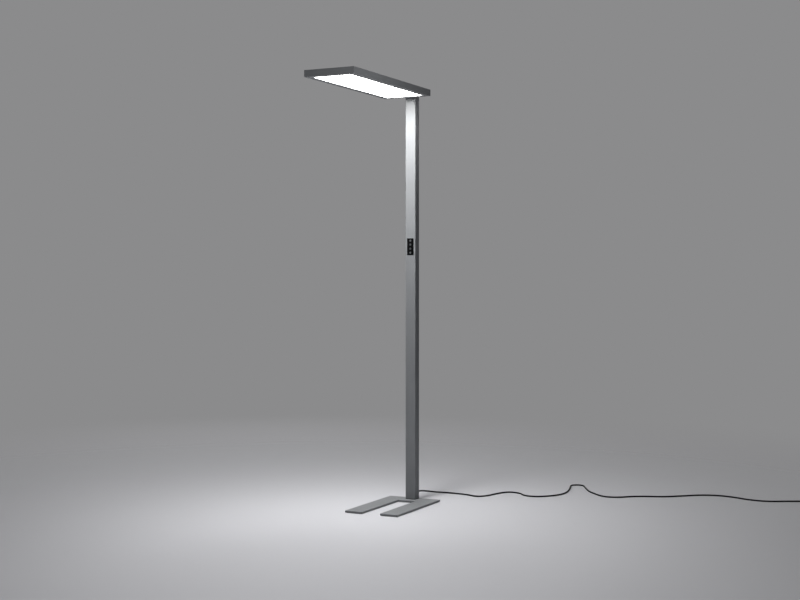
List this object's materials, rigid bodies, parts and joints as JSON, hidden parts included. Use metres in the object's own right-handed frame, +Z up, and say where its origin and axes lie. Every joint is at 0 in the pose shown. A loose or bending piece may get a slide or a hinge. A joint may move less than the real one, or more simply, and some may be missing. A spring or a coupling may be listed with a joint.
{
  "type": "office floor lamp",
  "caption": "Free-standing office floor lamp: forked flat base, slim square column with a key panel, and a long flat light panel that reaches forward over the desk.",
  "frame": {"origin": "floor point under the column's axis, on the underside of the base mat", "axes": "+Z up along the column, -Y to the front where the head and the base's prongs point, +X to the lamp's left as it faces the front"},
  "size_m": [1.9385, 1.6074, 1.95],
  "materials": {
    "grey_steel_paint": "fine textured grey powder coat",
    "grey_anodised": "satin grey anodised extrusion",
    "bare_aluminium": "milled and raw sheet aluminium",
    "zinc_steel": "zinc plated screws",
    "black_screws": "black oxide screws",
    "opal_diffuser": "opal acrylic sheet",
    "clear_guide": "clear acrylic light guide",
    "white_foil": "white reflecting sheet",
    "led_board": "white solder mask",
    "led_package": "phosphor over white package",
    "green_board": "green solder mask",
    "black_plastic": "fine moulded black plastic",
    "key_plastic": "satin grey moulded keys",
    "white_plastic": "white moulded housing",
    "beige_plastic": "polyamide terminal",
    "black_rubber": "matt black rubber",
    "cord_sheath": "black flexible sheath",
    "inner_sheath": "white lead sheath",
    "nickel_brass": "nickel plated brass"
  },
  "bodies": {
    "lamp": {"base_mat": "black_rubber", "base_plate": "grey_steel_paint", "base_screws": "zinc_steel", "foot_gasket": "black_rubber", "foot_block": "bare_aluminium", "foot_side_screws": "black_screws", "column_profile": "grey_anodised", "column_cap": "grey_anodised", "cap_screws": "zinc_steel", "cord_relief": "black_rubber", "inner_cord": "cord_sheath", "cord_clamp": "black_plastic", "cord_clamp_screws": "zinc_steel", "terminal_bracket": "zinc_steel", "terminal_bracket_screws": "zinc_steel", "terminal_block": "beige_plastic", "supply_lead": "inner_sheath", "led_driver": "white_plastic", "driver_screws": "black_screws", "led_lead": "inner_sheath", "control_lead": "inner_sheath", "control_bezel": "black_plastic", "control_housing": "black_plastic", "control_board": "green_board", "key_switches": "black_plastic", "control_screws": "zinc_steel", "neck_block": "bare_aluminium", "neck_block_screws": "black_screws", "neck_arm": "grey_steel_paint", "arm_column_screws": "black_screws", "arm_head_screws": "black_screws", "neck_sleeve": "grey_anodised", "corner_brackets": "bare_aluminium", "corner_screws": "zinc_steel", "top_cover": "grey_steel_paint", "cover_screws": "black_screws", "diffuser": "opal_diffuser", "light_guide": "clear_guide", "reflector_sheet": "white_foil", "back_plate": "bare_aluminium", "led_boards": "led_board", "leds": "led_package", "mount_plate": "bare_aluminium", "mount_plate_screws": "zinc_steel", "head_connector": "white_plastic", "board_leads": "inner_sheath", "cord": "cord_sheath", "plug_boot": "black_rubber", "plug_body": "black_rubber", "plug_pins": "nickel_brass", "plug_earth_clips": "nickel_brass", "head_rail_front": "grey_anodised", "head_rail_rear": "grey_anodised", "head_rail_right": "grey_anodised", "head_rail_left": "grey_anodised"},
    "key_on_off_body": {"key_on_off": "key_plastic"},
    "key_brighter_body": {"key_brighter": "key_plastic"},
    "key_dimmer_body": {"key_dimmer": "key_plastic"},
    "key_sensor_body": {"key_sensor": "key_plastic"}
  },
  "joints": [
    {"name": "key_on_off_press", "type": "slide", "parent": "lamp", "child": "key_on_off_body", "axis": [0, 1, 0], "range_m": [0, 0.0008], "stiffness_N_per_m": 900, "springref_m": -0.0006},
    {"name": "key_brighter_press", "type": "slide", "parent": "lamp", "child": "key_brighter_body", "axis": [0, 1, 0], "range_m": [0, 0.0008], "stiffness_N_per_m": 900, "springref_m": -0.0006},
    {"name": "key_dimmer_press", "type": "slide", "parent": "lamp", "child": "key_dimmer_body", "axis": [0, 1, 0], "range_m": [0, 0.0008], "stiffness_N_per_m": 900, "springref_m": -0.0006},
    {"name": "key_sensor_press", "type": "slide", "parent": "lamp", "child": "key_sensor_body", "axis": [0, 1, 0], "range_m": [0, 0.0008], "stiffness_N_per_m": 900, "springref_m": -0.0006}
  ]
}
